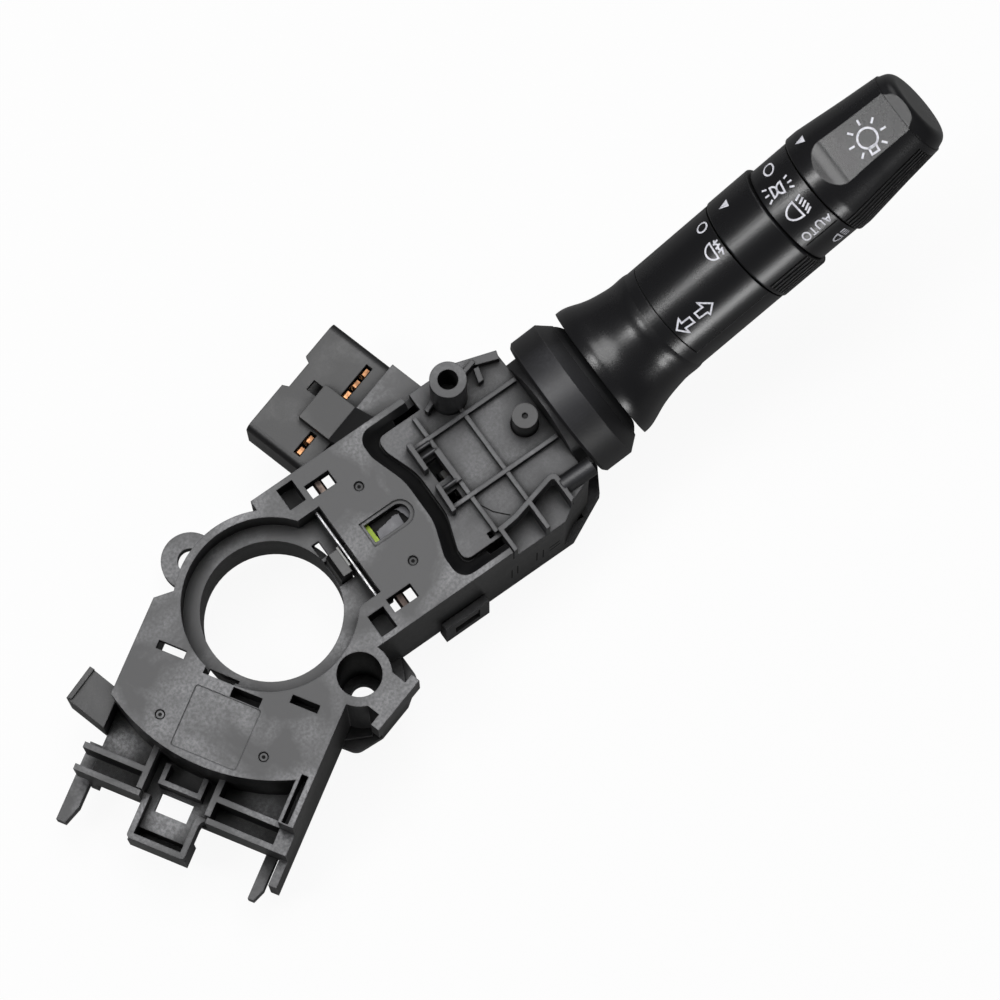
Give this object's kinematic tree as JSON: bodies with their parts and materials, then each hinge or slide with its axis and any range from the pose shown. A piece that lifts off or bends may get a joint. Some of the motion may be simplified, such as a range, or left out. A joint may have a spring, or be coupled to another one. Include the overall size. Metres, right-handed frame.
{
  "type": "combination stalk switch",
  "caption": "Combination switch for a steering column: a ring housing, a belled lever with a fog light ring and a turning light knob, and a bay for a wiper switch.",
  "frame": {"origin": "the column axis on the mounting plane, midway between the two column screws", "axes": "+Z along the column axis towards the driver, +X to the side of the lever, +Y towards the thin screw ear; the lever housing leans 16 degrees clockwise from +X"},
  "size_m": [0.2427, 0.0906, 0.0855],
  "materials": {
    "housing_plastic": "matt glass-filled nylon with cloudy flow marks",
    "cover_plastic": "matt moulded, slightly darker than the housing",
    "connector_plastic": "matt moulded",
    "stalk_plastic": "fine-grained satin",
    "ring_plastic": "fine-grained satin",
    "grey_plastic": "plain satin",
    "pawl_plastic": "satin",
    "lime_plastic": "satin",
    "board_laminate": "satin",
    "carrier_plastic": "matt natural",
    "terminal_brass": "bright stamped",
    "rod_steel": "drawn",
    "spring_steel": "drawn wire",
    "bar_bronze": "dull",
    "screw_steel": "plated"
  },
  "bodies": {
    "switch_body": {"column_body": "housing_plastic", "connector_block": "connector_plastic", "connector_lock": "connector_plastic", "harness_clip": "connector_plastic", "switch_cover": "cover_plastic", "lower_cover": "cover_plastic", "stalk_collar": "cover_plastic", "cover_screws": "screw_steel", "contact_carrier": "carrier_plastic", "contact_board": "board_laminate", "window_bed": "lime_plastic", "cancel_rod": "rod_steel", "upper_bar": "bar_bronze", "lower_bar": "bar_bronze", "terminal_1": "terminal_brass", "terminal_2": "terminal_brass", "terminal_3": "terminal_brass", "terminal_4": "terminal_brass", "terminal_5": "terminal_brass"},
    "swing": {"swing_carrier": "carrier_plastic", "cross_pin": "rod_steel", "flash_spring": "spring_steel"},
    "detent_plunger": {"detent_plunger": "grey_plastic", "detent_spring": "spring_steel"},
    "lever": {"lever_core": "pawl_plastic", "stalk_grip": "stalk_plastic", "label_panel": "ring_plastic", "symbol_band": "stalk_plastic"},
    "fog_ring": {"fog_ring": "ring_plastic"},
    "light_knob": {"light_knob": "ring_plastic", "knob_cap": "stalk_plastic", "knob_shaft": "pawl_plastic"},
    "turn_slider": {"turn_slider": "grey_plastic"},
    "cancel_pawl": {"cancel_pawl": "pawl_plastic", "cancel_block": "grey_plastic"}
  },
  "joints": [
    {"name": "turn_signal", "type": "hinge", "parent": "switch_body", "child": "swing", "pos_m": [0.06916, -0.01858, 0.016], "axis": [0, 0, 1], "range_deg": [-11, 11]},
    {"name": "flash_pull", "type": "hinge", "parent": "swing", "child": "lever", "pos_m": [0.06916, -0.01858, 0.016], "axis": [-0.2756, -0.9613, 0], "range_deg": [0, 8], "stiffness_Nm_per_rad": 1, "springref_deg": -5.73},
    {"name": "fog_turn", "type": "hinge", "parent": "lever", "child": "fog_ring", "pos_m": [0.06916, -0.01858, 0.016], "axis": [0.8565, -0.2456, 0.454], "range_deg": [0, 25]},
    {"name": "light_turn", "type": "hinge", "parent": "lever", "child": "light_knob", "pos_m": [0.06916, -0.01858, 0.016], "axis": [0.8565, -0.2456, 0.454], "range_deg": [0, 66]},
    {"name": "detent_slide", "type": "slide", "parent": "swing", "child": "detent_plunger", "axis": [0.9613, -0.2756, 0], "range_m": [-0.0005, 0.0012], "stiffness_N_per_m": 400},
    {"name": "cancel_slide", "type": "slide", "parent": "switch_body", "child": "cancel_pawl", "axis": [0.9613, -0.2756, 0], "range_m": [-0.0015, 0], "stiffness_N_per_m": 300},
    {"name": "slider_slide", "type": "slide", "parent": "switch_body", "child": "turn_slider", "axis": [0.2756, 0.9613, 0], "range_m": [-0.0036, 0.0036]}
  ],
  "couplings": [
    {"joint": "slider_slide", "follows": "turn_signal", "m_per_rad": -0.018}
  ]
}
